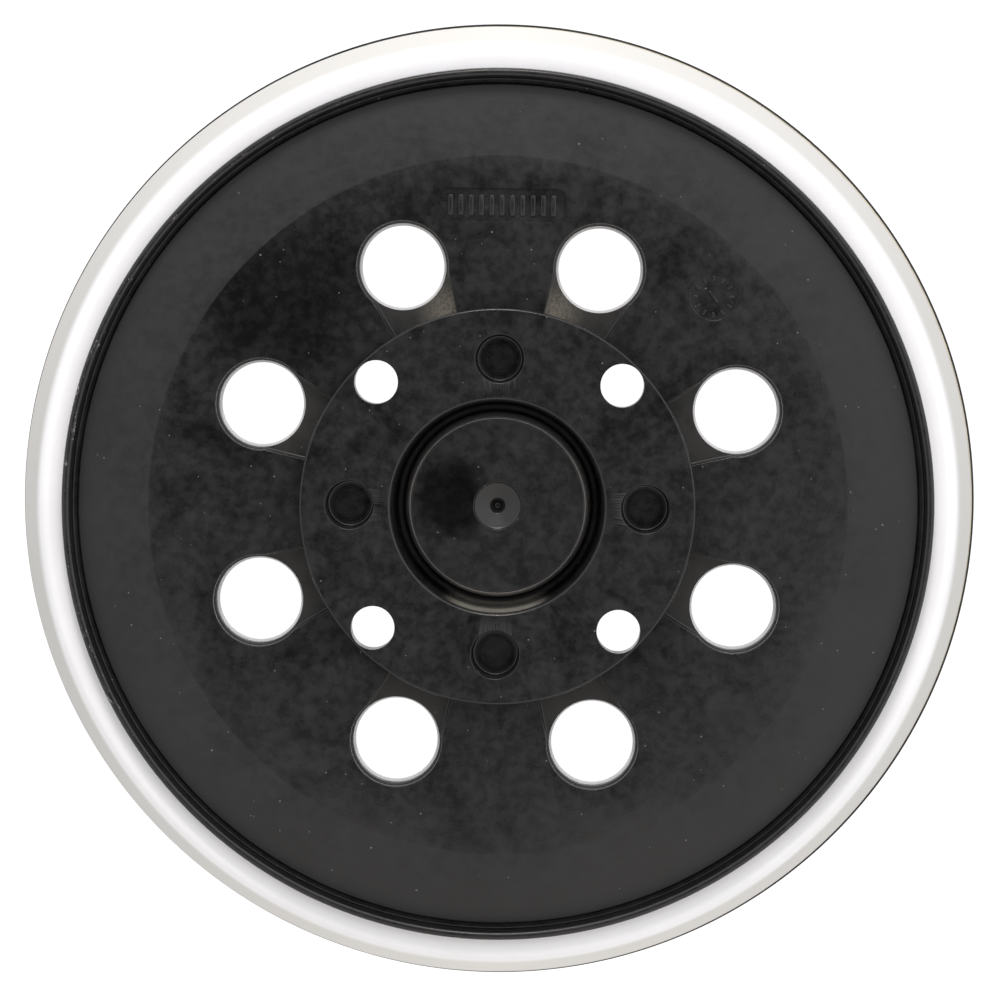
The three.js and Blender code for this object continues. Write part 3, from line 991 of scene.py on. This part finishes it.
def make_camera():
    """A long lens almost straight above the hub, with a slight tilt and roll."""
    data = bpy.data.cameras.new("camera")
    data.lens, data.sensor_width = CAMERA_LENS, 36.0
    data.clip_start, data.clip_end = 0.01, 20.0
    back = (CAMERA_PLACE - CAMERA_TARGET).normalized()
    level_right = Vector((0, 1, 0)).cross(back).normalized()
    level_up = back.cross(level_right)
    right = math.cos(CAMERA_ROLL) * level_right + math.sin(CAMERA_ROLL) * level_up
    up = math.cos(CAMERA_ROLL) * level_up - math.sin(CAMERA_ROLL) * level_right
    camera = bpy.data.objects.new("camera", data)
    turned = Matrix((right, up, back)).transposed().to_4x4()
    camera.matrix_world = Matrix.Translation(CAMERA_PLACE) @ turned
    bpy.context.scene.collection.objects.link(camera)
    bpy.context.scene.camera = camera


def make_stage(settings):
    """Floor, room light, a warm low light and the camera."""
    size = settings.floor_size / MM
    points = [(-size, -size, 0), (size, -size, 0), (size, size, 0), (-size, size, 0)]
    floor = new_object("floor", (np.array(points), [[0, 1, 2, 3]]))
    floor.data.materials.append(floor_material(settings))
    studio_world(settings)
    area_light("low warm light", 92, 36, 1.0, 0.25, settings.low_light, (1.0, 0.94, 0.86))
    make_camera()
    bpy.context.scene.view_settings.view_transform = "Standard"


# ---------------------------------------------------------------------------
# Settings, operators and panel
# ---------------------------------------------------------------------------


class PlateSettings(bpy.types.PropertyGroup):
    edge_round: FloatProperty(
        name="Edge round", description="Radius of the moulded edges", default=0.25 * MM,
        min=0.05 * MM, max=0.4 * MM, unit="LENGTH", precision=5)
    label_width: FloatProperty(
        name="Label width", description="Width of the recessed label", default=16.0 * MM,
        unit="LENGTH")
    label_height: FloatProperty(
        name="Label height", description="Height of the recessed label", default=4.3 * MM,
        unit="LENGTH")
    dial_radius: FloatProperty(
        name="Dial radius", description="Radius of the recessed dial", default=3.05 * MM, unit="LENGTH")
    scuffs: FloatProperty(
        name="Rim scuffs", description="How worn the rim's lip is", default=1.0,
        min=0.0, max=1.5, subtype="FACTOR")
    colour: FloatVectorProperty(
        name="Colour", description="Colour of the moulded nylon", default=(0.0088, 0.0083, 0.0092),
        min=0.0, max=1.0, subtype="COLOR")


class FoamSettings(bpy.types.PropertyGroup):
    shoulder: FloatProperty(
        name="Shoulder round", description="Radius of the foam's upper edge", default=1.4 * MM,
        unit="LENGTH")
    colour: FloatVectorProperty(
        name="Colour", description="Colour of the foam's skin", default=(0.88, 0.88, 0.905),
        min=0.0, max=1.0, subtype="COLOR")


class FilmSettings(bpy.types.PropertyGroup):
    colour: FloatVectorProperty(
        name="Colour", description="Colour of the set adhesive", default=(0.66, 0.60, 0.46),
        min=0.0, max=1.0, subtype="COLOR")


class HookSettings(bpy.types.PropertyGroup):
    pitch: FloatProperty(
        name="Pitch", description="Distance between hooks in a row", default=1.08 * MM,
        unit="LENGTH")
    edge_pitch: FloatProperty(
        name="Edge pitch", description="Distance between hooks along the edge", default=0.64 * MM,
        unit="LENGTH")
    height: FloatProperty(
        name="Hook height", description="Height of a hook below its backing", default=0.78 * MM,
        unit="LENGTH")
    colour: FloatVectorProperty(
        name="Colour", description="Colour of the hook nylon", default=(0.012, 0.012, 0.014),
        min=0.0, max=1.0, subtype="COLOR")


class StageSettings(bpy.types.PropertyGroup):
    floor_size: FloatProperty(
        name="Floor reach", description="Distance from the middle to each side", default=3.0,
        unit="LENGTH")
    floor_colour: FloatVectorProperty(
        name="Floor colour", description="Colour of the table", default=(1.0, 1.0, 1.0),
        min=0.0, max=1.0, subtype="COLOR")
    floor_glow: FloatProperty(
        name="Floor glow", description="How strongly the table glows", default=1.0, min=0.0)
    room_light: FloatProperty(
        name="Room light", description="Brightness of the soft room", default=1.36, min=0.0)
    ceiling: FloatProperty(
        name="Ceiling", description="Brightness straight above against the walls", default=0.03, min=0.0)
    horizon: FloatProperty(
        name="Horizon", description="Brightness at the horizon against the walls", default=0.42, min=0.0)
    low_light: FloatProperty(
        name="Low light", description="Power of the warm low light", default=3.4, min=0.0, unit="POWER")


class PadSettings(bpy.types.PropertyGroup):
    plate: PointerProperty(type=PlateSettings, name="Plate", description="Carrier plate")
    foam: PointerProperty(type=FoamSettings, name="Foam", description="Foam pad")
    film: PointerProperty(type=FilmSettings, name="Film", description="Adhesive film")
    hooks: PointerProperty(type=HookSettings, name="Hooks", description="Hook disc")
    stage: PointerProperty(type=StageSettings, name="Stage", description="Floor, light and camera")


class PAD_OT_effects(bpy.types.Operator):
    """Make the shader effects that several materials share"""

    bl_idname = "pad.effects"
    bl_label = "Shared Effects"

    def execute(self, context):
        make_polar_group()
        make_grain_group()
        make_speck_group()
        make_scuff_group()
        return {"FINISHED"}


class PAD_OT_stage(bpy.types.Operator):
    """Make the floor, the lights and the camera"""

    bl_idname = "pad.stage"
    bl_label = "Stage"

    def execute(self, context):
        make_stage(context.scene.sander_pad.stage)
        return {"FINISHED"}


class PAD_OT_carrier_plate(bpy.types.Operator):
    """Make the moulded carrier plate with its hub, holes, pockets, label and dial"""

    bl_idname = "pad.carrier_plate"
    bl_label = "Carrier Plate"

    def execute(self, context):
        settings = context.scene.sander_pad.plate
        make_carrier_plate(settings, plate_material(settings))
        return {"FINISHED"}


class PAD_OT_foam(bpy.types.Operator):
    """Make the foam pad that is moulded under the carrier plate"""

    bl_idname = "pad.foam"
    bl_label = "Foam"

    def execute(self, context):
        settings = context.scene.sander_pad.foam
        make_foam(settings, foam_material(settings))
        return {"FINISHED"}


class PAD_OT_film(bpy.types.Operator):
    """Make the adhesive film between foam and hook disc"""

    bl_idname = "pad.film"
    bl_label = "Adhesive Film"

    def execute(self, context):
        make_film(film_material(context.scene.sander_pad.film))
        return {"FINISHED"}


class PAD_OT_hook_disc(bpy.types.Operator):
    """Make the hook disc: its backing and its hooks"""

    bl_idname = "pad.hook_disc"
    bl_label = "Hook Disc"

    def execute(self, context):
        settings = context.scene.sander_pad.hooks
        make_hook_disc(settings, hook_material(settings))
        return {"FINISHED"}


class PAD_PT_panel(bpy.types.Panel):
    """Sizes, colours and a button for each piece"""

    bl_idname = "PAD_PT_panel"
    bl_label = "Sander Pad"
    bl_space_type = "VIEW_3D"
    bl_region_type = "UI"
    bl_category = "Sander Pad"

    def draw(self, context):
        settings = context.scene.sander_pad
        for operator, group in (("pad.effects", None), ("pad.stage", settings.stage),
                                ("pad.carrier_plate", settings.plate), ("pad.foam", settings.foam),
                                ("pad.film", settings.film), ("pad.hook_disc", settings.hooks)):
            box = self.layout.box()
            for name in (group.__annotations__ if group else ()):
                box.prop(group, name)
            box.operator(operator)


CLASSES = (PlateSettings, FoamSettings, FilmSettings, HookSettings, StageSettings, PadSettings,
           PAD_OT_effects, PAD_OT_stage, PAD_OT_carrier_plate, PAD_OT_foam, PAD_OT_film,
           PAD_OT_hook_disc, PAD_PT_panel)


def register():
    for cls in CLASSES:
        bpy.utils.register_class(cls)
    bpy.types.Scene.sander_pad = PointerProperty(type=PadSettings)


def unregister():
    del bpy.types.Scene.sander_pad
    for cls in reversed(CLASSES):
        bpy.utils.unregister_class(cls)


def main():
    register()
    bpy.ops.pad.effects()
    bpy.ops.pad.stage()
    bpy.ops.pad.carrier_plate()
    bpy.ops.pad.foam()
    bpy.ops.pad.film()
    bpy.ops.pad.hook_disc()


if __name__ == "__main__":
    main()
